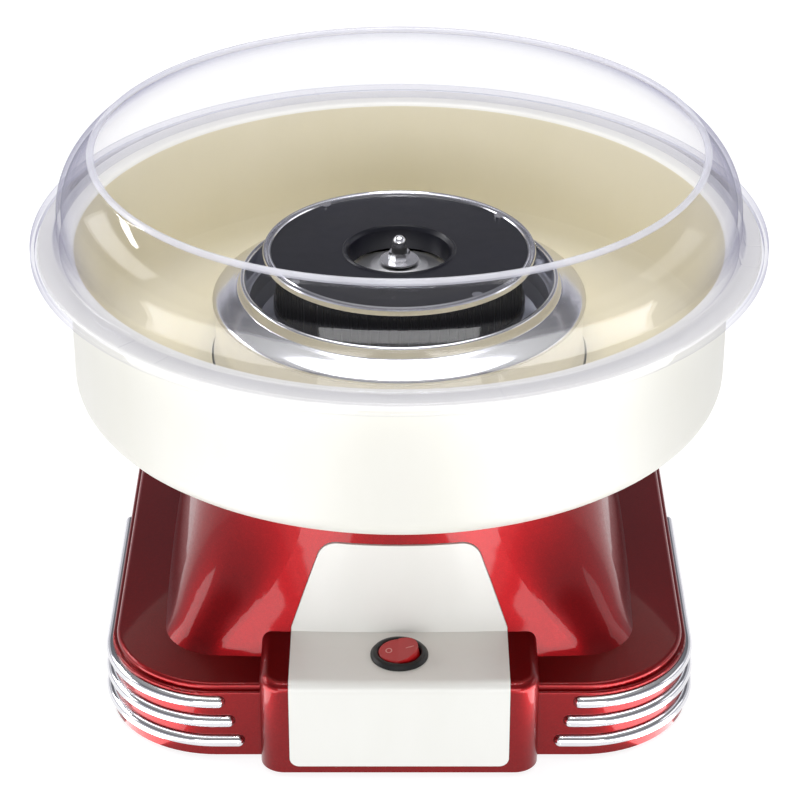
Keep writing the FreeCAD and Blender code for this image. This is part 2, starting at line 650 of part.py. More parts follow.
def reflector_screws():
    screws = []
    for angle in (0, 90, 180, 270):
        x, y = on_circle(69.5, angle)
        head = cylinder(2.4, TOWER_Z + 0.8, TOWER_Z + 2.2, x, y)
        screws.append(fuse([head, cylinder(1.3, TOWER_Z - 5, TOWER_Z + 0.9, x, y)]))
    return Part.makeCompound(screws)


def heating_element():
    section = Part.Face(Part.Wire(Part.makeCircle(ELEMENT_TUBE_R, V(ELEMENT_R, 0, ELEMENT_Z), V(0, 1, 0))))
    loop = section.revolve(V(0, 0, 0), V(0, 0, 1), 336)
    loop.rotate(V(0, 0, 0), V(0, 0, 1), 12)
    pieces = [loop]
    for angle in (-12, 12):
        x, y = on_circle(ELEMENT_R, angle)
        pieces.append(Part.makeSphere(ELEMENT_TUBE_R, V(x, y, ELEMENT_Z)))
        pieces.append(cylinder(ELEMENT_TUBE_R, 128.0, ELEMENT_Z, x, y))
    return fuse(pieces)


def element_posts():
    """Ceramic posts that hold the ring up from the dish."""
    posts = []
    floor = REFLECTOR_FLOOR_Z
    for angle in (90, 180, 270):
        x, y = on_circle(ELEMENT_R, angle)
        post = fuse([cylinder(4.0, floor + 0.8, ELEMENT_Z - 1.0, x, y), cylinder(1.5, floor - 3, floor + 1, x, y),
                     cylinder(3.0, floor - 3, floor, x, y)])
        groove = Part.makeTorus(ELEMENT_R, ELEMENT_TUBE_R + 0.1, V(0, 0, ELEMENT_Z), V(0, 0, 1))
        posts.append(post.cut(groove))
    return Part.makeCompound(posts)


def thermal_cutout():
    """Thermostat clipped to the dish's underside."""
    z = REFLECTOR_FLOOR_Z
    x, y = on_circle(33.0, 225)
    can = fuse([cylinder(8.0, z - 7, z, x, y), cylinder(6.0, z - 10, z - 6.5, x, y)])
    tabs = [box(x + dx - 0.4, x + dx + 0.4, y - 2.4, y + 2.4, z - 16, z - 9) for dx in (-3.5, 3.5)]
    return fuse([can] + tabs)


# ---- motor -------------------------------------------------------------------------------
def motor_bracket():
    plate = cylinder(76.5, BRACKET_Z - BRACKET_THICK, BRACKET_Z)
    windows = []
    for angle in (0, 90, 180, 270):
        sector = turned([(32.0, 100.0), (62.0, 100.0), (62.0, 130.0), (32.0, 130.0)], 50.0)
        windows.append(spun(sector, angle - 25.0))
    holes = [cylinder(2.2, 100, 130, *on_circle(POST_RADIUS, a)) for a in POST_ANGLES]
    holes += [cylinder(1.6, 100, 130, *on_circle(17.0, a)) for a in (45, 225)]
    return plate.cut(windows + holes + [cylinder(7.3, 100, 130)])


def motor_dampers():
    rings = []
    for angle in POST_ANGLES:
        x, y = on_circle(POST_RADIUS, angle)
        rings.append(tube(4.4, 2.2, BRACKET_Z, BRACKET_Z + 3.0, x, y))
    return Part.makeCompound(rings)


def bracket_screws():
    seat = BRACKET_Z - BRACKET_THICK
    screws = [pan_screw(1.7, 4.0, 2.0, seat, 15.0, *on_circle(POST_RADIUS, a)) for a in POST_ANGLES]
    return Part.makeCompound(screws)


def motor_screws():
    screws = []
    for angle in (45, 225):
        x, y = on_circle(17.0, angle)
        head = cylinder(2.8, BRACKET_Z, BRACKET_Z + 2, x, y)
        screws.append(fuse([head, cylinder(1.5, BRACKET_Z - 6, BRACKET_Z + 0.1, x, y)]))
    return Part.makeCompound(screws)


def motor_can():
    can = cylinder(MOTOR_R, MOTOR_BOTTOM_Z, MOTOR_TOP_Z).cut(cylinder(MOTOR_R - 1.5, 60, MOTOR_TOP_Z - 1.8))
    boss = tube(7.0, 5.0, MOTOR_TOP_Z - 6.0, MOTOR_TOP_Z + 1.6)
    holes = [cylinder(1.6, 100, 130, *on_circle(17.0, a)) for a in (45, 225)]
    return can.fuse(boss).cut(holes + [cylinder(5.0, 100, 130)])


def motor_end_bell():
    z = MOTOR_BOTTOM_Z
    plate = cylinder(MOTOR_R, z - 4.0, z)
    spigot = tube(MOTOR_R - 1.7, MOTOR_R - 4.0, z - 0.5, z + 4.0)
    boss = cylinder(8.0, z - 8.0, z - 3.5)
    return fuse([plate, spigot, boss]).cut(cylinder(5.0, z - 20, z + 10))


def bearing(z_low, z_high):
    return tube(4.95, SHAFT_R + RUNNING_GAP, z_low, z_high)


def motor_magnets():
    r_out, r_in = MOTOR_R - 1.6, MOTOR_R - 6.0
    block = turned([(r_in, 72.0), (r_out, 72.0), (r_out, 106.0), (r_in, 106.0)], 140.0)
    return Part.makeCompound([spun(block, -70.0), spun(block, 110.0)])


def motor_shaft():
    shaft = cylinder(SHAFT_R, 42.0, 165.4)
    tip = Part.makeCone(SHAFT_R, SHAFT_R - 0.7, 0.7, V(0, 0, 165.4))
    groove = tube(SHAFT_R + 1, SHAFT_R - 0.6, 43.4, 44.4)
    pin_hole = Part.makeCylinder(1.0, 20, V(-10, 0, 151.6), V(1, 0, 0))
    return fuse([shaft, tip]).cut([groove, pin_hole])


def drive_pin():
    return Part.makeCylinder(1.0, 11.0, V(-5.5, 0, 151.6), V(1, 0, 0))


def rotor_core():
    core = cylinder(MOTOR_R - 6.6, 76.0, 102.0)
    slots = ring_of(box(9.0, 30.0, -1.2, 1.2, 70, 110), 9)
    pockets = ring_of(cylinder(2.6, 70, 110, 14.0, 0), 9)
    return core.cut(slots + pockets + [cylinder(SHAFT_R, 70, 110)])


def commutator():
    ring = tube(6.5, SHAFT_R, 68.5, 75.0)
    gaps = ring_of(box(5.4, 8.0, -0.25, 0.25, 68, 76), 9, 20.0)
    return ring.cut(gaps)


def cooling_fan():
    """Seven-bladed fan on the shaft's lower end, drawing air up past the motor."""
    hub = tube(7.0, SHAFT_R, 45.0, 53.0)
    disc = tube(14.0, SHAFT_R, 45.0, 46.5)
    blade = box(6.5, 36.0, -0.8, 0.8, 45.0, 55.0)
    blade.rotate(V(20, 0, 50), V(1, 0, 0), 32)
    blade = blade.common(tube(36.0, 5.0, 45.0, 53.5))
    return fuse([hub, disc] + ring_of(blade, 7))


def fan_clip():
    ring = tube(5.6, SHAFT_R - 0.6, 43.4, 44.4)
    return ring.cut(box(0, 10, -1.6, 1.6, 40, 50))


# ---- electrics ---------------------------------------------------------------------------
def terminal_block():
    block = box(-60, -30, 78, 92, PLATE_Z[1], 17.0)
    ways = [Part.makeCylinder(2.2, 20, V(x, 75, 11.0), V(0, 1, 0)) for x in (-54, -45, -36)]
    heads = [cylinder(2.6, 14.5, 20, x, 85) for x in (-54, -45, -36)]
    return block.cut(ways + heads)


def rectifier_board():
    board = box(36, 84, 52, 84, 9.0, 10.6)
    legs = [cylinder(2.4, PLATE_Z[1], 9.1, x, y) for x, y in ((40, 56), (80, 56), (40, 80), (80, 80))]
    bridge = box(42, 56, 60, 64.5, 10.5, 22.0)
    capacitor = cylinder(6.5, 10.5, 30.0, 70, 70)
    return fuse([board, bridge, capacitor] + legs)


def internal_wiring():
    """Mains pair to the block, a lead to the switch, leads to the board, heater and motor."""
    entry = BASE_HALF_BOTTOM - 9.0
    leg_x, leg_y = on_circle(ELEMENT_R, 12)
    runs = [
        [V(1.6, entry, GLAND_Z), V(1.6, 108, 15), V(-36, 100, 11), V(-36, 92.2, 11)],
        [V(-1.6, entry, GLAND_Z), V(-1.6, 104, 22), V(-50, 104, 18), V(-54, 92.5, 11.5)],
        [V(-45, 77.5, 11), V(-60, 40, 10), V(-60, -60, 10), V(-10, -100, 14), V(-4, SWITCH_Y, 14.5)],
        [V(4, SWITCH_Y, 14.5), V(10, -98, 14), V(66, -60, 10), V(66, 30, 12), V(60, 51, 12)],
        [V(34.5, 70, 12), V(20, 60, 30), V(20, 48, 58), V(14, 34, 62), V(14, 22, 57)],
        [V(62, 86, 14), V(60, 60, 60), V(leg_x, leg_y, 100), V(leg_x, leg_y, 127.9)],
        [V(81, 86, 14), V(82, 20, 60), V(leg_x, -leg_y, 100), V(leg_x, -leg_y, 127.9)],
    ]
    return Part.makeCompound([wire_run(run, 1.2) for run in runs])


# ---- floss head --------------------------------------------------------------------------
HUB_TOP_Z = 169.6
DOME_R = 2.8
DOME_TOP_Z = 181.9


def head_pan():
    return turned([
        (6.6, 168.5), (9.0, 168.5), (12.0, 167.6), (22.0, 163.2), (49.6, 149.5), (53.8, 149.5),
        (53.8, 153.0), (52.9, 153.0), (52.9, PAN_RIM_Z), (50.0, PAN_RIM_Z), (22.2, 164.3),
        (12.2, 168.7), (9.2, 169.5), (6.6, 169.5),
    ])


def mesh_band():
    band = tube(BAND_R, BAND_R - 0.6, PAN_RIM_Z + 0.1, 172.9)
    slot = box(BAND_R - 2, BAND_R + 2, -0.6, 0.6, 153.6, 171.4)
    slots = [spun(slot, 360.0 * i / 80) for i in range(80) if i % 20 not in (10,)]
    return band.cut(slots)


def cage_straps():
    """Four upright straps that tie the pan to the cover's rim."""
    strap = turned([(52.85, 153.1), (53.75, 153.1), (53.75, 172.9), (52.85, 172.9)], 2.6)
    return Part.makeCompound(ring_of(strap, 4, 44.0))


def head_cover():
    """Black disc with the sugar well: raised lip, chamfer and tapering wall."""
    return turned([
        (54.4, 174.0), (54.4, COVER_Z), (24.3, COVER_Z), (23.8, COVER_Z + 0.5), (23.1, COVER_Z + 0.5),
        (WELL_R, COVER_Z), (21.8, COVER_Z - 1.2), (20.9, 166.0), (21.8, 166.0), (22.9, 174.0),
    ])


def head_rim():
    """Silver double rim that clamps the cover, with four folded tabs."""
    rim = turned([
        (51.0, 173.0), (57.4, 173.0), (HEAD_RIM_R, 173.6), (HEAD_RIM_R, 175.7), (57.7, HEAD_TOP_Z),
        (57.0, HEAD_TOP_Z), (56.6, 175.2), (55.8, 175.0), (55.5, 175.9), (55.2, HEAD_TOP_Z - 0.1),
        (54.8, HEAD_TOP_Z - 0.1), (54.5, 175.7), (54.5, 173.9), (51.0, 173.9),
    ])
    tab = cylinder(2.4, COVER_Z + 0.05, COVER_Z + 0.6, 54.2, 0).common(cylinder(55.2, 170, 180))
    return fuse([rim] + ring_of(tab, 4, 36.5))


def head_hub():
    """Bush that drops over the motor shaft, with a drive slot below and a domed stud above."""
    bush = turned([(0, 150.4), (6.4, 150.4), (6.4, 167.4), (9.0, 167.4), (9.0, 168.45), (6.4, 168.45),
                   (6.4, HUB_TOP_Z), (0, HUB_TOP_Z)])
    stud = cylinder(2.5, HUB_TOP_Z - 1, 177.3)
    dome = cylinder(DOME_R, 177.2, DOME_TOP_Z - DOME_R).fuse(
        Part.makeSphere(DOME_R, V(0, 0, DOME_TOP_Z - DOME_R)))
    bore = cylinder(SHAFT_R + RUNNING_GAP, 140, 166.4)
    slot = box(-8, 8, -1.15, 1.15, 140, 153.0)
    return fuse([bush, stud, dome]).cut([bore, slot])


def hex_nut():
    corners = [V(4.62 * math.cos(math.radians(a)), 4.62 * math.sin(math.radians(a)), 171.3)
               for a in range(10, 370, 60)]
    prism = Part.Face(Part.makePolygon(corners + corners[:1])).extrude(V(0, 0, 3.6))
    chamfer = turned([(0, 171.0), (4.1, 171.0), (4.8, 171.9), (4.8, 174.2), (4.2, 175.0), (0, 175.0)])
    return prism.common(chamfer).cut(cylinder(2.5, 170, 180))


# ---- all pieces --------------------------------------------------------------------------
def main():
    os.makedirs("parts", exist_ok=True)
    shell = base_shell()
    save("base_shell", between(shell, 0.0, LEDGE_Z))
    save("column_shell", between(shell, LEDGE_Z, COLLAR_FLANGE_Z))
    save("control_pod", control_pod())
    save("control_panel", control_panel())
    for z, front_end, name in zip(TRIM_HEIGHTS, TRIM_FRONT_ENDS, TRIM_NAMES):
        strip = trim_strip(z, front_end, TRIM_PROUD, TRIM_SUNK, TRIM_HALF_HEIGHT)
        save("trim_right_" + name, strip)
        save("trim_left_" + name, mirrored(strip))
    save("bottom_plate", bottom_plate())
    save("rubber_feet", rubber_feet())
    save("bottom_screws", bottom_screws())
    save("cord_gland", cord_gland())
    save("switch_body", switch_body())
    save("rocker", rocker())
    save("switch_terminals", switch_terminals())
    for name, ring in bowl_pieces(bowl()).items():
        save(name, ring)
    guard = splash_guard()
    save("guard_flange", between(guard, BOWL_RIM_Z - 10.0, GUARD_SPLIT_Z))
    save("guard_wall", between(guard, GUARD_SPLIT_Z, GUARD_RIM_Z + 10.0))
    save("collar", collar())
    save("heat_reflector", heat_reflector())
    save("reflector_screws", reflector_screws())
    save("heating_element", heating_element())
    save("element_posts", element_posts())
    save("thermal_cutout", thermal_cutout())
    save("motor_bracket", motor_bracket())
    save("motor_dampers", motor_dampers())
    save("bracket_screws", bracket_screws())
    save("motor_screws", motor_screws())
    save("motor_can", motor_can())
    save("motor_end_bell", motor_end_bell())
    save("upper_bearing", bearing(MOTOR_TOP_Z - 6.0, MOTOR_TOP_Z + 1.4))
    save("lower_bearing", bearing(MOTOR_BOTTOM_Z - 8.0, MOTOR_BOTTOM_Z - 1.0))
    save("motor_magnets", motor_magnets())
    save("motor_shaft", motor_shaft())
    save("drive_pin", drive_pin())
    save("rotor_core", rotor_core())
    save("commutator", commutator())
    save("cooling_fan", cooling_fan())
    save("fan_clip", fan_clip())
    save("terminal_block", terminal_block())
    save("rectifier_board", rectifier_board())
    save("internal_wiring", internal_wiring())
    save("head_pan", head_pan())
    save("mesh_band", mesh_band())
    save("cage_straps", cage_straps())
    save("head_cover", head_cover())
    save("head_rim", head_rim())
    save("head_hub", head_hub())
    save("seal_washer", tube(7.3, 2.6, 169.6, 170.4))
    save("flange_washer", tube(8.2, 2.6, 170.4, 171.2))
    save("hex_nut", hex_nut())
    save("lock_ring", tube(3.3, 2.55, 175.0, 177.1))


main()
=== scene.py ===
"""Looks of the table-top cotton candy machine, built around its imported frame.

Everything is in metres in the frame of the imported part: +Z up, the control pod faces -Y.
Outlines of turned pieces are written in millimetres and scaled when their mesh is made.
"""
import json
import math
import bmesh
import bpy
from mathutils import Matrix, Vector
from mathutils.bvhtree import BVHTree


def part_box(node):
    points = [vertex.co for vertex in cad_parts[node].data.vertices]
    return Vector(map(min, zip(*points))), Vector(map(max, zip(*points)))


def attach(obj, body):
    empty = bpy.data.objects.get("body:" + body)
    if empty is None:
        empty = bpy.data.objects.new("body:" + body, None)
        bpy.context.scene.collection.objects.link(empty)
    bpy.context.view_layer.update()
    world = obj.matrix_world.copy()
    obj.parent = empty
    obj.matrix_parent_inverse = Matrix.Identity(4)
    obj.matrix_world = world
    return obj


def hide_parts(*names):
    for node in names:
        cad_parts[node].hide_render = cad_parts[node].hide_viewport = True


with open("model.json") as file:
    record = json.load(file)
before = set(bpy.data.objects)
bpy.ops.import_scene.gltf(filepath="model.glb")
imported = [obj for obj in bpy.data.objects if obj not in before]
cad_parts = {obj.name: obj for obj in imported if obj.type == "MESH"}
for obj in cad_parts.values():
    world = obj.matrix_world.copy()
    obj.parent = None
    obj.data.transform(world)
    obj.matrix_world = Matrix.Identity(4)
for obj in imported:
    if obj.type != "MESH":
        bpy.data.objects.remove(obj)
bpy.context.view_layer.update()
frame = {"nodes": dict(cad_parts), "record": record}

MM = 0.001
SEGMENTS = 240
SHARP_DEG = 32.0


# ---- camera, floor and light ---------------------------------------------------------------
CAMERA_PLACE = (0.0, -1.06872, 0.69733)
CAMERA_TILT_DEG = 60.894
CAMERA_LENS = 125.99
CAMERA_SHIFT_X = 0.0009
CAMERA_SENSOR = 36.0
CAMERA_REACH = 50.0
FLOOR_HALF = 6.0

# Surround: (height of the direction, from 0 level to 1 straight up; red and green there; blue there).
WORLD_BANDS = (
    (0.0, 0.8, 0.85),
    (0.34, 0.8, 0.85),
    (0.43, 0.2, 0.22),
    (0.55, 0.2, 0.22),
    (0.8, 0.5, 0.5),
)
WORLD_STRENGTH = 0.8

# Lamps: (name, place, width, depth, watts), all aimed at the middle of the machine.
LAMP_AIM = (0.0, 0.0, 0.12)
LAMPS = (
    ("overhead", (0.0, 0.1, 1.5), 1.3, 1.0, 13.0),
    ("front_fill", (0.0, -1.9, 0.5), 1.7, 0.7, 14.0),
    ("left_bank", (-1.25, 0.3, 0.55), 0.9, 0.35, 3.2),
    ("right_bank", (1.25, 0.2, 0.55), 0.7, 0.35, 0.9),
)
GLINTS = (
    ("rim_glint", (0.0, -0.2, 1.4), 0.3, 0.16, 4.0),
    ("left_glint", (-1.08, 0.5, 0.86), 0.5, 0.05, 2.6),
)

# Boards lying on the floor at the front corners: they face up and show only in reflections.
BOARD_OUT = 0.45
BOARD_HEIGHT = 0.002
BOARD_SIDE = 0.7
BOARD_WATTS = {-1: 6.0, 1: 8.0}     # by side: left, right


def make_camera():
    data = bpy.data.cameras.new("camera")
    data.lens = CAMERA_LENS
    data.sensor_width = CAMERA_SENSOR
    data.shift_x = CAMERA_SHIFT_X
    data.clip_end = CAMERA_REACH
    camera = bpy.data.objects.new("camera", data)
    camera.location = CAMERA_PLACE
    camera.rotation_euler = (math.radians(CAMERA_TILT_DEG), 0.0, 0.0)
    bpy.context.scene.collection.objects.link(camera)
    bpy.context.scene.camera = camera


def softbox(name, place, target, width, depth, watts):
    data = bpy.data.lights.new(name, "AREA")
    data.shape = "RECTANGLE"
    data.size = width
    data.size_y = depth
    data.energy = watts
    lamp = bpy.data.objects.new(name, data)
    lamp.location = place
    aim = Vector(target) - Vector(place)
    lamp.rotation_mode = "QUATERNION"
    lamp.rotation_quaternion = aim.to_track_quat("-Z", "Y")
    bpy.context.scene.collection.objects.link(lamp)
    return lamp


def make_world():
    """Studio surround: pale up to a third of the way, then a dim gap, then mid grey overhead."""
    world = bpy.data.worlds.new("studio")
    bpy.context.scene.world = world
    world.use_nodes = True
    tree = world.node_tree
    background = tree.nodes["Background"]
    coords = tree.nodes.new("ShaderNodeTexCoord")
    parts = tree.nodes.new("ShaderNodeSeparateXYZ")
    ramp = tree.nodes.new("ShaderNodeValToRGB")
    tree.links.new(coords.outputs["Generated"], parts.inputs[0])
    tree.links.new(parts.outputs["Z"], ramp.inputs["Fac"])
    tree.links.new(ramp.outputs["Color"], background.inputs["Color"])
    stops = ramp.color_ramp.elements
    while len(stops) < len(WORLD_BANDS):
        stops.new(0.5)
    for stop, (height, grey, blue) in zip(stops, WORLD_BANDS):
        stop.position = height
        stop.color = (grey, grey, blue, 1.0)
    background.inputs["Strength"].default_value = WORLD_STRENGTH


def only_in_gloss(lamp):
    """Keep a lamp to the reflections: it lights no matt surface."""
    lamp.visible_camera = False
    lamp.visible_diffuse = False
    lamp.visible_transmission = False


def make_lights():
    for name, place, width, depth, watts in LAMPS:
        softbox(name, place, LAMP_AIM, width, depth, watts)
    for side, watts in BOARD_WATTS.items():
        x, y = side * BOARD_OUT, -BOARD_OUT
        board = softbox("floor_board", (x, y, BOARD_HEIGHT), (x, y, 1.0), BOARD_SIDE, BOARD_SIDE, watts)
        only_in_gloss(board)
    for name, place, width, depth, watts in GLINTS:
        only_in_gloss(softbox(name, place, LAMP_AIM, width, depth, watts))


# ---- node helpers --------------------------------------------------------------------------
class Look:
    """A node-based material while it is put together."""

    def __init__(self, name):
        self.material = bpy.data.materials.new(name)
        self.material.use_nodes = True
        self.tree = self.material.node_tree
        self.shader = self.tree.nodes["Principled BSDF"]
        self.place = self.add("ShaderNodeTexCoord").outputs["Object"]

    def add(self, kind, **settings):
        node = self.tree.nodes.new(kind)
        for key, value in settings.items():
            setattr(node, key, value)
        return node

    def feed(self, socket, value):
        if isinstance(value, bpy.types.NodeSocket):
            self.tree.links.new(value, socket)
        else:
            socket.default_value = value

    def set(self, **values):
        for key, value in values.items():
            self.feed(self.shader.inputs[key.replace("_", " ")], value)

    def noise(self, scale, detail=2.0, roughness=0.5, vector=None):
        node = self.add("ShaderNodeTexNoise")
        node.inputs["Scale"].default_value = scale
        node.inputs["Detail"].default_value = detail
        node.inputs["Roughness"].default_value = roughness
        self.feed(node.inputs["Vector"], self.place if vector is None else vector)
        return node.outputs["Fac"]

    def cells(self, scale):
        """A random colour for each cell of a fine foam."""
        node = self.add("ShaderNodeTexVoronoi")
        node.inputs["Scale"].default_value = scale
        self.feed(node.inputs["Vector"], self.place)
        return node.outputs["Color"]

    def stretched(self, x, y, z):
        node = self.add("ShaderNodeMapping")
        node.inputs["Scale"].default_value = (x, y, z)
        self.feed(node.inputs["Vector"], self.place)
        return node.outputs["Vector"]

    def radius(self):
        """Distance from the machine's axis, as a vector that only changes with it."""
        flat = self.stretched(1.0, 1.0, 0.0)
        node = self.add("ShaderNodeVectorMath", operation="LENGTH")
        self.feed(node.inputs[0], flat)
        joined = self.add("ShaderNodeCombineXYZ")
        self.feed(joined.inputs["X"], node.outputs["Value"])
        return joined.outputs["Vector"]

    def scaled(self, value, low, high, from_low=0.3, from_high=0.7):
        """Map a value's range, by default the usual range of a noise, to low..high."""
        node = self.add("ShaderNodeMapRange")
        self.feed(node.inputs["Value"], value)
        node.inputs["From Min"].default_value = from_low
        node.inputs["From Max"].default_value = from_high
        node.inputs["To Min"].default_value = low
        node.inputs["To Max"].default_value = high
        return node.outputs["Result"]

    def raised(self, value, power):
        node = self.add("ShaderNodeMath", operation="POWER")
        self.feed(node.inputs[0], value)
        node.inputs[1].default_value = power
        return node.outputs[0]

    def blend(self, share, first, second):
        node = self.add("ShaderNodeMix", data_type="RGBA")
        self.feed(node.inputs["Factor"], share)
        self.feed(node.inputs[6], first)
        self.feed(node.inputs[7], second)
        return node.outputs[2]

    def bump(self, height, distance, strength):
        node = self.add("ShaderNodeBump")
        node.inputs["Strength"].default_value = strength
        node.inputs["Distance"].default_value = distance
        self.feed(node.inputs["Height"], height)
        return node.outputs["Normal"]

    def mix(self, share, first, second):
        """The output of a shader that goes from the first shader to the second by share."""
        node = self.add("ShaderNodeMixShader")
        self.feed(node.inputs["Fac"], share)
        self.feed(node.inputs[1], first)
        self.feed(node.inputs[2], second)
        return node.outputs[0]

    def see_through(self, colour):
        node = self.add("ShaderNodeBsdfTransparent")
        self.feed(node.inputs["Color"], colour)
        return node.outputs[0]

    def finish(self, shader):
        self.feed(self.tree.nodes["Material Output"].inputs["Surface"], shader)
        return self.material


def rgb(red, green, blue):
    """Display colour on a 0 to 255 scale as a linear RGBA colour."""
    def linear(channel):
        c = channel / 255.0
        return c / 12.92 if c <= 0.04045 else ((c + 0.055) / 1.055) ** 2.4
    return (linear(red), linear(green), linear(blue), 1.0)


# ---- materials -----------------------------------------------------------------------------
def lacquer():
    """Candy red: metal flake under a clear, slightly rippled top coat."""
    look = Look("red_lacquer")
    flake = look.cells(6000.0)
    share = look.add("ShaderNodeSeparateColor")
    look.feed(share.inputs[0], flake)
    drift = look.noise(14.0, detail=3.0)
    deep = look.blend(look.scaled(drift, 0.0, 1.0), rgb(116, 4, 11), rgb(126, 5, 12))
    sparkle = look.scaled(share.outputs[0], 0.0, 0.5, 0.4, 1.0)
    look.set(Base_Color=look.blend(sparkle, deep, rgb(170, 16, 20)))
    look.set(Metallic=0.94, Coat_Weight=0.6, Coat_Roughness=0.06, Coat_IOR=1.45)
    look.set(Roughness=look.scaled(look.noise(900.0), 0.34, 0.42))
    look.set(Normal=look.bump(share.outputs[1], distance=0.00001, strength=0.3))
    peel = look.noise(420.0, detail=1.0)
    look.feed(look.shader.inputs["Coat Normal"], look.bump(peel, distance=0.000004, strength=0.5))
    return look.material


def moulded(name, colour, shade, rough, depth=0.00001, coat=0.0, shine=0.5):
    """Moulded plastic: faint flow marks in the colour, fine grain, uneven gloss."""
    look = Look(name)
    flow = look.noise(26.0, detail=4.0, roughness=0.6, vector=look.stretched(1.0, 1.0, 0.35))
    look.set(Base_Color=look.blend(look.scaled(flow, 0.0, 1.0), colour, shade))
    look.set(Roughness=look.scaled(look.noise(60.0, detail=3.0), rough * 0.95, rough * 1.05))
    fine = look.noise(900.0, detail=2.0)
    look.set(Normal=look.bump(fine, distance=depth, strength=0.6))
    look.set(Coat_Weight=coat, Coat_Roughness=0.08, Specular_IOR_Level=shine)
    return look.material


def polished(name, colour, rough, smear, lines=0.0):
    """Bright metal: soft smears in the gloss and, when turned, fine rings from the tool."""
    look = Look(name)
    smudge = look.noise(38.0, detail=4.0, roughness=0.6)
    dull = (colour[0] * 0.9, colour[1] * 0.9, colour[2] * 0.92, 1.0)
    look.set(Base_Color=look.blend(look.scaled(smudge, 0.0, 1.0), colour, dull), Metallic=1.0)
    look.set(Roughness=look.scaled(smudge, rough, rough + smear))
    if lines:
        rings = look.noise(2400.0, detail=3.0, roughness=0.7, vector=look.radius())
        look.set(Normal=look.bump(rings, distance=lines, strength=0.5))
    else:
        look.set(Normal=look.bump(look.noise(90.0, detail=1.0), distance=0.000004, strength=0.4))
    return look.material


# Radii where the pan's painted shade begins and where it is full.
BRIGHT_R = 0.024
PAINTED_SHADE_R = 0.031


def pan_painted_shade():
    """Spun aluminium, bright in the middle and painted near-black outside the sugar well: painted shade
    where the pan lies under the dark head.
    """
    look = Look("aluminium_painted_shade")
    apart = look.add("ShaderNodeSeparateXYZ")
    look.feed(apart.inputs[0], look.radius())
    shade_share = look.scaled(apart.outputs["X"], 0.0, 1.0, BRIGHT_R, PAINTED_SHADE_R)
    smudge = look.noise(38.0, detail=4.0, roughness=0.6)
    # Bright bare metal, and near-black painted shade for the pan under the head.
    bright, shade_colour = (0.84, 0.84, 0.86, 1.0), (0.035, 0.035, 0.042, 1.0)
    look.set(Base_Color=look.blend(shade_share, bright, shade_colour), Metallic=1.0)
    look.set(Roughness=look.scaled(smudge, 0.28, 0.4))
    look.set(Normal=look.bump(look.noise(90.0, detail=1.0), distance=0.000004, strength=0.4))
    return look.material


CLEAR_TINT = rgb(253, 253, 254)
EDGE_TINT = rgb(146, 144, 182)
SHADE_TINT = rgb(251, 251, 253)
TINT_POWER = 4.5
MIRROR_POWER = 5.0
MIRROR_LOW = 0.03
MIRROR_HIGH = 0.5
GLASS_SHARE = 0.01


def clear_plastic():
    """Clear moulded plastic: see-through face on, glossy and cool-tinted where seen at a slant.

    Shadow rays go straight through it, so that it hardly darkens what is beneath.
    """
    look = Look("clear_plastic")
    skin = look.bump(look.noise(22.0, detail=2.0), distance=0.0001, strength=0.04)
    gloss = look.scaled(look.noise(90.0, detail=4.0), 0.015, 0.05)
    look.set(Base_Color=rgb(250, 250, 254), Transmission_Weight=1.0, IOR=1.3)
    look.set(Roughness=gloss, Normal=skin)
    slant = look.add("ShaderNodeLayerWeight")
    slant.inputs["Blend"].default_value = 0.5
    facing = slant.outputs["Facing"]
    tint = look.blend(look.raised(facing, TINT_POWER), CLEAR_TINT, EDGE_TINT)
    body = look.mix(GLASS_SHARE, look.see_through(tint), look.shader.outputs[0])
    shine = look.add("ShaderNodeBsdfGlossy")
    look.feed(shine.inputs["Roughness"], gloss)
    look.feed(shine.inputs["Normal"], skin)
    mirror = look.scaled(look.raised(facing, MIRROR_POWER), MIRROR_LOW, MIRROR_HIGH, 0.0, 1.0)
    shell = look.mix(mirror, body, shine.outputs[0])
    path = look.add("ShaderNodeLightPath")
    return look.finish(look.mix(path.outputs["Is Shadow Ray"], shell, look.see_through(SHADE_TINT)))


def edge_painted_highlight():
    """The clear plastic's thick rolled edge with a painted highlight: a pale band, part see-through,
    shaded like white plastic so that it shows light.
    """
    look = Look("clear_edge_painted_highlight")
    highlight_share = look.scaled(look.noise(60.0, detail=3.0), 0.46, 0.54)
    look.set(Base_Color=rgb(246, 246, 250), Roughness=0.22, Specular_IOR_Level=0.8)
    return look.finish(look.mix(highlight_share, look.see_through(rgb(232, 232, 242)), look.shader.outputs[0]))


def enamel():
    """Satin blue-black enamel with a fine orange-peel skin."""
    look = Look("black_enamel")
    cloud = look.noise(30.0, detail=4.0)
    look.set(Base_Color=look.blend(look.scaled(cloud, 0.0, 1.0), rgb(11, 11, 21), rgb(16, 16, 29)))
    look.set(Roughness=look.scaled(look.noise(120.0, detail=3.0), 0.3, 0.38), Specular_IOR_Level=0.35)
    look.set(Normal=look.bump(look.noise(1500.0, detail=2.0), distance=0.00002, strength=0.5))
    return look.material


def floor_paint():
    """White sweep that glows a little, as if lit from underneath."""
    look = Look("studio_floor")
    mottle = look.noise(3.0, detail=3.0)
    look.set(Base_Color=look.blend(look.scaled(mottle, 0.0, 1.0), rgb(150, 150, 150), rgb(146, 146, 148)))
    look.set(Roughness=0.85, Specular_IOR_Level=0.1)
    look.set(Emission_Color=(1.0, 1.0, 1.0, 1.0), Emission_Strength=0.85)
    return look.material


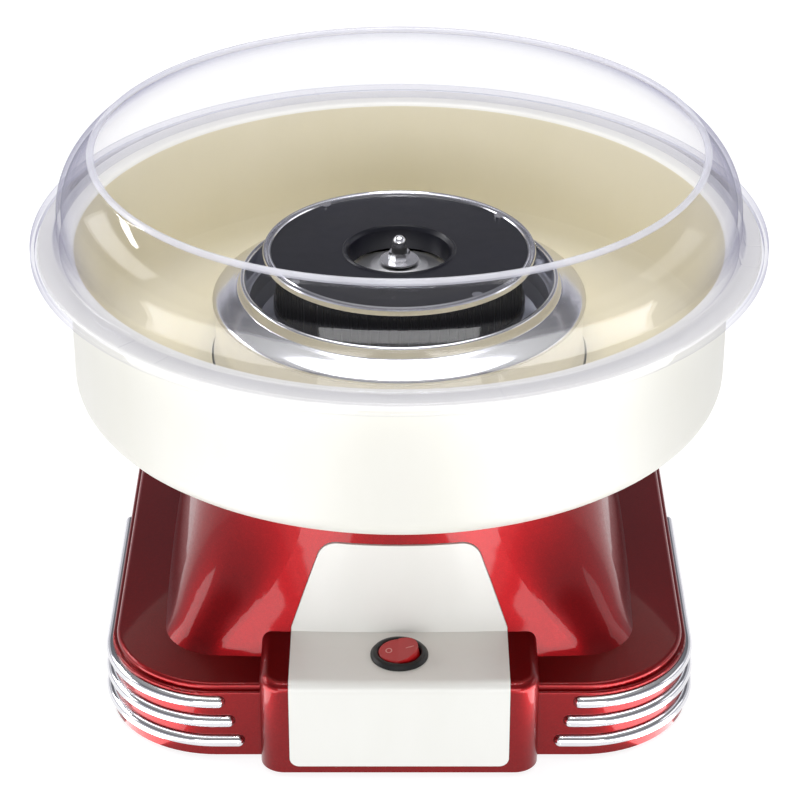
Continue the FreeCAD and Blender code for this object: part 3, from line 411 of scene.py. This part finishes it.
SLOTS = {
    "red_lacquer": lacquer(),
    "cream_plastic": moulded("cream_plastic", rgb(226, 225, 218), rgb(223, 222, 213), rough=0.45),
    # Same cream plastic as the outside, painted warmer inside the bowl: painted light thrown back within
    # the bowl.
    "cream_inside_painted_light": moulded("cream_inside_painted_light", rgb(238, 231, 208), rgb(235, 228, 203), rough=0.55),
    "offwhite_plastic": moulded(
        "offwhite_plastic", rgb(234, 234, 229), rgb(231, 231, 225), rough=0.3, coat=0.1),
    "clear_plastic": clear_plastic(),
    "chrome_trim": polished("chrome_trim", (0.8, 0.8, 0.82, 1.0), rough=0.09, smear=0.03),
    "polished_aluminium": polished(
        "polished_aluminium", (0.84, 0.84, 0.87, 1.0), rough=0.12, smear=0.05, lines=0.000006),
    "spun_aluminium": polished(
        "spun_aluminium", (0.84, 0.84, 0.86, 1.0), rough=0.28, smear=0.1, lines=0.000012),
    # Aluminium darkened as painted shade, for the heat reflector in the shade round the head.
    "dim_aluminium_painted_shade": polished(
        "dim_aluminium_painted_shade", (0.42, 0.43, 0.48, 1.0), rough=0.35, smear=0.15, lines=0.000012),
    "aluminium_painted_shade": pan_painted_shade(),
    "black_enamel": enamel(),
    "dark_mesh": moulded("dark_mesh", rgb(9, 9, 13), rgb(13, 13, 17), rough=0.6, shine=0.02),
    "steel": polished("steel", (0.5, 0.5, 0.53, 1.0), rough=0.28, smear=0.12),
    "bright_steel": polished("bright_steel", (0.88, 0.88, 0.9, 1.0), rough=0.2, smear=0.1),
    "black_plastic": moulded("black_plastic", rgb(13, 13, 14), rgb(18, 18, 19), rough=0.42),
    "grey_plastic": moulded("grey_plastic", rgb(96, 98, 102), rgb(86, 88, 92), rough=0.45),
    "rocker_red": moulded("rocker_red", rgb(188, 18, 22), rgb(176, 15, 20), rough=0.3, coat=0.1),
    "rubber": moulded("rubber", rgb(28, 28, 29), rgb(36, 36, 37), rough=0.75, depth=0.00004),
    "brass": polished("brass", (0.72, 0.52, 0.22, 1.0), rough=0.25, smear=0.12),
    "bronze": polished("bronze", (0.5, 0.33, 0.18, 1.0), rough=0.4, smear=0.15),
    "element_sheath": polished("element_sheath", (0.3, 0.28, 0.27, 1.0), rough=0.4, smear=0.2),
    "ceramic": moulded("ceramic", rgb(226, 222, 210), rgb(214, 208, 194), rough=0.55, depth=0.00003),
    "ferrite": moulded("ferrite", rgb(44, 42, 42), rgb(56, 54, 53), rough=0.6, depth=0.00003),
    "iron_core": polished("iron_core", (0.36, 0.36, 0.38, 1.0), rough=0.45, smear=0.15),
    "copper": polished("copper", (0.78, 0.4, 0.24, 1.0), rough=0.25, smear=0.12),
    "nylon": moulded("nylon", rgb(222, 220, 212), rgb(212, 210, 200), rough=0.5),
    "wire_sheath": moulded("wire_sheath", rgb(120, 30, 28), rgb(108, 26, 26), rough=0.5),
    "circuit_board": moulded("circuit_board", rgb(30, 92, 52), rgb(24, 80, 46), rough=0.4),
}

# Nodes whose look differs from the plain look of their slot: both are darkened as painted shade where the
# heating head lies in shade.
OWN_LOOKS = {"heat_reflector": "dim_aluminium_painted_shade", "head_pan": "aluminium_painted_shade"}


def dress_nodes():
    """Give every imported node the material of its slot, or its own."""
    for entry in frame["record"]["subparts"]:
        mesh = frame["nodes"][entry["node"]].data
        mesh.materials.clear()
        mesh.materials.append(SLOTS[OWN_LOOKS.get(entry["node"], entry["material_slot"])])


# ---- turned pieces -------------------------------------------------------------------------
# Outline points are (radius, height) in millimetres, or (radius, height, rounding) for eased().
def smooth_run(points, steps=8):
    """Points along a smooth curve through the given outline points."""
    run = []
    ends = [points[0]] + list(points) + [points[-1]]
    for a, b, c, d in zip(ends, ends[1:], ends[2:], ends[3:]):
        for k in range(steps):
            t = k / steps
            run.append(tuple(
                0.5 * (2 * q + (r - p) * t + (2 * p - 5 * q + 4 * r - s) * t * t
                       + (3 * q - p - 3 * r + s) * t ** 3)
                for p, q, r, s in zip(a, b, c, d)))
    return run + [tuple(points[-1])]


def eased(points, steps=5):
    """Open outline whose inner corners (radius, height, rounding) are replaced by arcs."""
    run = [tuple(points[0][:2])]
    for before, corner, after in zip(points, points[1:], points[2:]):
        here = Vector(corner[:2])
        if len(corner) < 3:
            run.append(tuple(here))
            continue
        to_before = (Vector(before[:2]) - here).normalized()
        to_after = (Vector(after[:2]) - here).normalized()
        half = 0.5 * to_before.angle(to_after)
        reach = corner[2] / math.tan(half)
        centre = here + (to_before + to_after).normalized() * (corner[2] / math.sin(half))
        first = here + to_before * reach - centre
        last = here + to_after * reach - centre
        turn = first.angle_signed(last)
        for k in range(steps + 1):
            arm = first.copy()
            arm.rotate(Matrix.Rotation(-turn * k / steps, 2))
            run.append(tuple(centre + arm))
    return run + [tuple(points[-1][:2])]


def even_angles():
    return [360.0 * k / SEGMENTS for k in range(SEGMENTS)]


def lathe(name, outline, body, slot, replaced, looks=None, look_of=None, angles=None, sunk=None):
    """Closed ring turned about the machine's axis from a closed outline in millimetres.

    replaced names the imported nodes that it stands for. look_of gives each stretch of the outline
    an index into looks. angles are in degrees. sunk(angle, radius, height) lowers a point by the
    depth it gives.
    """
    angles = angles or even_angles()
    rings = len(outline)
    verts = []
    for degrees in angles:
        angle = math.radians(degrees)
        for radius, height in outline:
            z = height - (sunk(degrees, radius, height) if sunk else 0.0)
            verts.append((radius * MM * math.cos(angle), radius * MM * math.sin(angle), z * MM))
    faces = []
    for k in range(len(angles)):
        near, far = k * rings, (k + 1) % len(angles) * rings
        for i in range(rings):
            j = (i + 1) % rings
            faces.append((near + i, far + i, far + j, near + j))
    piece = mesh_piece(name, verts, faces, body, looks or [SLOTS[slot]])
    if look_of:
        for face in piece.data.polygons:
            face.material_index = look_of[face.index % rings]
    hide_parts(*replaced)


def mesh_piece(name, verts, faces, body, looks):
    """Closed mesh in the machine's frame that rides on a body."""
    mesh = bpy.data.meshes.new(name)
    mesh.from_pydata(verts, [], faces)
    work = bmesh.new()
    work.from_mesh(mesh)
    bmesh.ops.recalc_face_normals(work, faces=work.faces)
    work.to_mesh(mesh)
    work.free()
    mesh.polygons.foreach_set("use_smooth", [True] * len(mesh.polygons))
    mesh.set_sharp_from_angle(angle=math.radians(SHARP_DEG))
    for look in looks:
        mesh.materials.append(look)
    piece = bpy.data.objects.new(name, mesh)
    bpy.context.scene.collection.objects.link(piece)
    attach(piece, body)
    return piece


# ---- bowl ----------------------------------------------------------------------------------
BOWL_WALL = 2.4
BOWL_FOOT_ROUND = 12.0
BOWL_FOOT_R = 117.0          # inner radius of the flat ring it stands on
BOWL_BELT_Z = 150.0
HUB_EDGE_R = 80.9
HUB_SEAT_R = 85.0
RIM_ROLL = 2.0               # the part of the rim that has the paler look: painted light on the rim's top
RIM_THICK = 2.1
RIM_INNER_ROUND = 2.2
RIM_EDGE_ROUND = 0.9
RIM_UNDER_ROUND = 0.6
RIM_FILLET = 1.4
RIM_FILLET_Z = 181.6
INNER_WALL_Z = (134.0, 140.0, 176.0)      # where the wall leaves the trough, and two heights on it
TROUGH = [
    (134.2, 126.2), (127.4, 120.6), (117.0, 118.6), (104.0, 120.8), (93.0, 125.4), (87.0, 127.6),
]
UNDER_FLOOR = [(85.0, 125.4), (91.6, 122.8), (102.4, 118.2), (110.0, 115.4)]


def top_of(node):
    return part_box(node)[1].z / MM


def bottom_of(node):
    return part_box(node)[0].z / MM


def radius_of(node):
    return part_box(node)[1].x / MM


def make_bowl():
    # The rim's top is the same cream plastic painted paler: painted light.
    cream_rim_painted_light = moulded("cream_rim_painted_light", rgb(250, 249, 243), rgb(247, 246, 239), rough=0.45)
    outer = radius_of("bowl_side")
    inner = outer - BOWL_WALL
    bottom, top = bottom_of("bowl_foot"), top_of("bowl_rim")
    seat, edge = bottom_of("bowl_hub"), top_of("bowl_hub")
    rim = radius_of("bowl_rim")
    floor_z, low_z, high_z = INNER_WALL_Z
    rim_flat = (rim - RIM_ROLL, top)
    lip = [(inner, low_z), (inner, high_z), (inner, top, RIM_INNER_ROUND), rim_flat]
    inside = smooth_run([(inner, floor_z)] + TROUGH + [(HUB_EDGE_R, edge)])[::-1] + eased(lip)[:-1]
    outside = eased([
        rim_flat, (rim, top, RIM_EDGE_ROUND), (rim, top - RIM_THICK, RIM_UNDER_ROUND),
        (outer, RIM_FILLET_Z, RIM_FILLET), (outer, BOWL_BELT_Z),
        (outer, bottom, BOWL_FOOT_ROUND), (BOWL_FOOT_R, bottom),
    ], 8)
    below = smooth_run([(BOWL_FOOT_R, bottom)] + UNDER_FLOOR[::-1])[1:]
    hub = [(HUB_SEAT_R, seat), (HUB_EDGE_R, seat)]
    outline = inside + outside + below + hub
    # Inside faces get the warmer inside look, painted light thrown back within the bowl; the rest get the
    # plain cream.
    look_of = [0] * (len(inside) - 1) + [1] * (len(outline) - len(inside) + 1)
    # The rim's top gets the paler look with its painted light.
    for i, (radius, height) in enumerate(outline):
        if height > top - RIM_ROLL:
            look_of[i] = 2
    lathe("bowl_dish", outline, "bowl", "cream_plastic",
          ("bowl_rim", "bowl_side", "bowl_foot", "bowl_slope", "bowl_hub"),
          [SLOTS["cream_inside_painted_light"], SLOTS["cream_plastic"], cream_rim_painted_light], look_of)


# ---- clear guard ---------------------------------------------------------------------------
GUARD_WALL = 2.0
BULGE_R = 143.6              # widest, at BULGE_Z; the wall curves in from there to RIM_R
BULGE_Z = 197.0
BULGE_POWER = 2.5
RIM_R = 128.6
RIM_DROP = 0.6               # the wall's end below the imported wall's top
RIM_BEAD_R = 1.4
WALL_STEPS = 36
BEAD_STEPS = 12
SKIRT_DEPTH = 3.3
FLANGE_THICK = 2.2
BORE_R = 143.0
SKIRT_WALL = 1.8
FOOT_FILLET_Z = (191.5, 192.0)
DECK_R = 145.6               # where the flange's flat top meets the wall's fillet
SCORE_FIRST_DEG = (-15.0, -7.5)
SCORE_PITCH_DEG = 60.0
SCORE_HALF_DEG = 0.1
SCORE_DEPTH = 0.35
SCORE_INNER_R = 145.0
SCORE_EDGE = 1.0


def make_guard():
    top = top_of("guard_wall") - RIM_DROP
    flange_r = radius_of("guard_flange")
    lip = bottom_of("guard_flange")
    seat = lip + SKIRT_DEPTH
    deck = seat + FLANGE_THICK
    outer, inner = [], []
    for k in range(WALL_STEPS + 1):
        share = k / WALL_STEPS
        radius = BULGE_R - (BULGE_R - RIM_R) * share ** BULGE_POWER
        slope = -(BULGE_R - RIM_R) * BULGE_POWER * share ** (BULGE_POWER - 1) / (top - BULGE_Z)
        height = BULGE_Z + (top - BULGE_Z) * share
        length = math.hypot(1.0, slope)
        outer.append((radius, height))
        inner.append((radius - GUARD_WALL / length, height + GUARD_WALL * slope / length))
    high, low = Vector(outer[-1]), Vector(inner[-1])
    middle = 0.5 * (high + low)
    start = math.atan2(high.y - low.y, high.x - low.x)
    turns = [start + math.pi * k / BEAD_STEPS for k in range(BEAD_STEPS + 1)]
    bead = [(middle.x + RIM_BEAD_R * math.cos(t), middle.y + RIM_BEAD_R * math.sin(t)) for t in turns]
    inner_fillet_z, outer_fillet_z = FOOT_FILLET_Z
    foot = eased([
        inner[0],
        (BULGE_R - GUARD_WALL, inner_fillet_z, 3.0), (BORE_R, deck - 0.8, 1.0), (BORE_R, seat, 0.3),
        (flange_r - SKIRT_WALL, seat, 0.5), (flange_r - SKIRT_WALL - 0.1, lip, 0.4),
        (flange_r, lip, 0.6), (flange_r, deck, 1.4),
        (DECK_R, deck, 2.0), (BULGE_R + 0.2, outer_fillet_z, 4.0),
        outer[0],
    ], 6)
    outline = outer[:-1] + bead + inner[-2::-1] + foot[1:-1]
    # Faces of the rolled rim bead get the painted highlight.
    highlight_faces = range(len(outer) - 2, len(outer) + len(bead) - 1)
    look_of = [int(i in highlight_faces) for i in range(len(outline))]
    repeats = range(int(360.0 / SCORE_PITCH_DEG))
    marks = [first + SCORE_PITCH_DEG * k for first in SCORE_FIRST_DEG for k in repeats]
    edges = [(mark + side * SCORE_HALF_DEG) % 360.0 for mark in marks for side in (-1, 1)]
    angles = sorted(set(even_angles() + edges))

    def score(degrees, radius, height):
        """Depth of the groove: full at a mark's own angle, none at the angles either side."""
        near = min(abs((degrees - m + 180.0) % 360.0 - 180.0) for m in marks) < 0.5 * SCORE_HALF_DEG
        on_deck = height > deck - 0.3 and SCORE_INNER_R < radius < flange_r - SCORE_EDGE
        return SCORE_DEPTH if near and on_deck else 0.0

    lathe("guard_shell", outline, "splash_guard", "clear_plastic", ("guard_flange", "guard_wall"),
          [SLOTS["clear_plastic"], edge_painted_highlight()], look_of, angles, score)


# ---- collar --------------------------------------------------------------------------------
ROLL_R = 67.0                # middle of the rolled lip
ROLL_WIDE = 1.25
ROLL_HIGH = 1.35
FLARE = [
    (68.8, 159.6), (70.0, 158.9), (73.5, 157.7), (77.0, 156.3), (78.9, 155.3), (79.8, 154.2),
    (79.8, 153.3), (79.1, 152.6),
]
SKIRT_OUTER = [(79.1, 152.6), (79.1, 134.0, 9.0)]
SKIRT_INNER = [(78.2, 134.2, 8.0), (78.2, 153.4), (77.4, 155.4)]
SKIRT_FOOT = 0.9
COLLAR_UNDER = [(72.2, 156.5), (68.8, 159.0), (67.2, 161.6), (66.6, 161.0), (66.6, 153.2), (65.7, 153.2)]


def make_collar():
    top, foot = top_of("collar"), bottom_of("collar")
    foot_r = radius_of("collar")
    flare = smooth_run([(68.2, top - 1.4)] + FLARE)
    turns = [math.radians(a) for a in range(170, 5, -15)]
    roll = [(ROLL_R + ROLL_WIDE * math.cos(t), top - ROLL_HIGH + ROLL_HIGH * math.sin(t)) for t in turns]
    toe = [(foot_r, foot + 0.2), (foot_r, foot), (foot_r - SKIRT_FOOT, foot)]
    skirt = eased(SKIRT_OUTER + toe + SKIRT_INNER, 6)
    outline = roll + flare + skirt[1:] + COLLAR_UNDER
    lathe("collar_shell", outline, "housing", "polished_aluminium", ("collar",))


# ---- marks on the switch -------------------------------------------------------------------
MARK_SPREAD = 4.3            # middle of each mark from the rocker's middle
MARK_RAISE = 0.00006
MARK_SINK = 0.0002
RAY_START = 0.01
OFF_RING = ((0.95, 1.3), (1.4, 1.75))      # half width and half height: inner loop, outer loop
ON_BAR = ((1.5, 0.06), (1.75, 0.3))


def printed_loop(name, inner, outer):
    """Closed raised band between two flat loops of points, laid on the rocker's face."""
    start_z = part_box("rocker")[1].z + RAY_START
    tree = BVHTree.FromObject(frame["nodes"]["rocker"], bpy.context.evaluated_depsgraph_get())
    verts = []
    for raise_by in (MARK_RAISE, -MARK_SINK):
        for x, y in inner + outer:
            spot = tree.ray_cast(Vector((x, y, start_z)), Vector((0.0, 0.0, -1.0)))[0]
            verts.append((x, y, spot.z + raise_by))
    n = len(inner)
    faces = []
    for i in range(n):
        j = (i + 1) % n
        top_in, top_out = (i, j), (n + i, n + j)
        low_in, low_out = (2 * n + i, 2 * n + j), (3 * n + i, 3 * n + j)
        faces.append((top_in[0], top_in[1], top_out[1], top_out[0]))
        faces.append((low_in[0], low_out[0], low_out[1], low_in[1]))
        faces.append((top_in[0], low_in[0], low_in[1], top_in[1]))
        faces.append((top_out[0], top_out[1], low_out[1], low_out[0]))
    ink = moulded("mark_ink", rgb(214, 142, 136), rgb(206, 132, 126), rough=0.3)
    mesh_piece(name, verts, faces, "rocker", [ink])


def oval(x, y, half_x, half_y, count=32):
    turns = [2.0 * math.pi * k / count for k in range(count)]
    return [(x + half_x * MM * math.cos(t), y + half_y * MM * math.sin(t)) for t in turns]


def make_switch_marks():
    low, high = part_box("rocker")
    x, y = 0.5 * (low.x + high.x), 0.5 * (low.y + high.y)
    for name, side, (inner, outer) in (("mark_off", -1, OFF_RING), ("mark_on", 1, ON_BAR)):
        middle = x + side * MARK_SPREAD * MM
        printed_loop(name, oval(middle, y, *inner), oval(middle, y, *outer))


# ---- floor ---------------------------------------------------------------------------------
def make_floor():
    mesh = bpy.data.meshes.new("floor")
    h = FLOOR_HALF
    mesh.from_pydata([(-h, -h, 0), (h, -h, 0), (h, h, 0), (-h, h, 0)], [], [(0, 1, 2, 3)])
    mesh.materials.append(floor_paint())
    floor = bpy.data.objects.new("floor", mesh)
    bpy.context.scene.collection.objects.link(floor)


make_camera()
make_world()
make_lights()
dress_nodes()
make_floor()
make_bowl()
make_guard()
make_collar()
make_switch_marks()
bpy.context.scene.view_settings.view_transform = "Standard"
